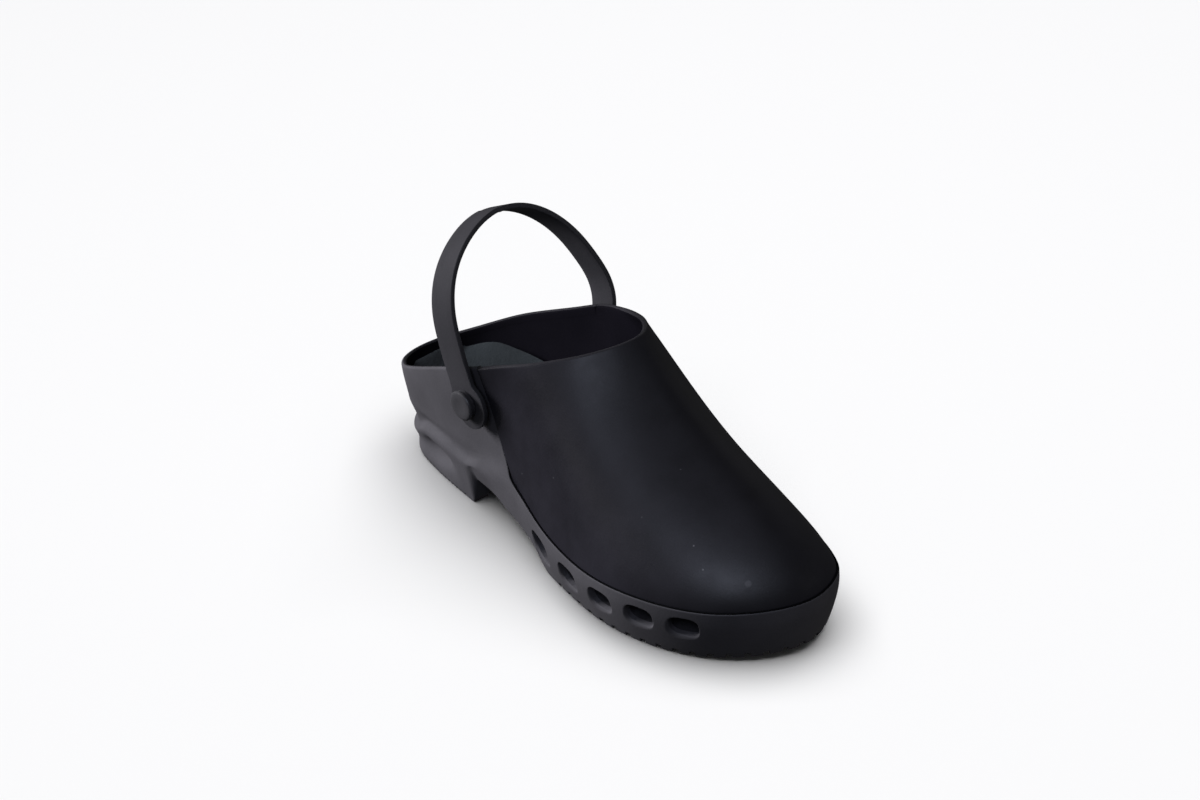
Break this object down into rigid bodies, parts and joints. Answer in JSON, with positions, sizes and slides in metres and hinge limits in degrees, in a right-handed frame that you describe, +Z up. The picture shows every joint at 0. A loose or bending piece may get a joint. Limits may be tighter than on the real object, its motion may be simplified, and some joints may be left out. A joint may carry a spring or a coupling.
{
  "type": "chef clog",
  "caption": "Moulded closed-toe work clog for the right foot, open collar, vented rand, heel block and an upright heel strap on two press buttons.",
  "frame": {"origin": "on the ground, at the middle of the bounding box's underside", "axes": "-Y towards the toe, +X towards the medial side of this right shoe, +Z up from the ground"},
  "size_m": [0.111, 0.2948, 0.16],
  "materials": {
    "sole_rubber": "matte moulded elastomer, near black",
    "upper_rubber": "satin moulded elastomer, near black",
    "insole_foam": "matte foam, dark grey",
    "strap_rubber": "matte moulded elastomer, near black",
    "button_rubber": "satin moulded elastomer, near black"
  },
  "bodies": {
    "root": {"sole": "sole_rubber", "upper": "upper_rubber", "insole": "insole_foam", "strap": "strap_rubber", "button_lateral": "button_rubber", "button_medial": "button_rubber"}
  },
  "joints": []
}
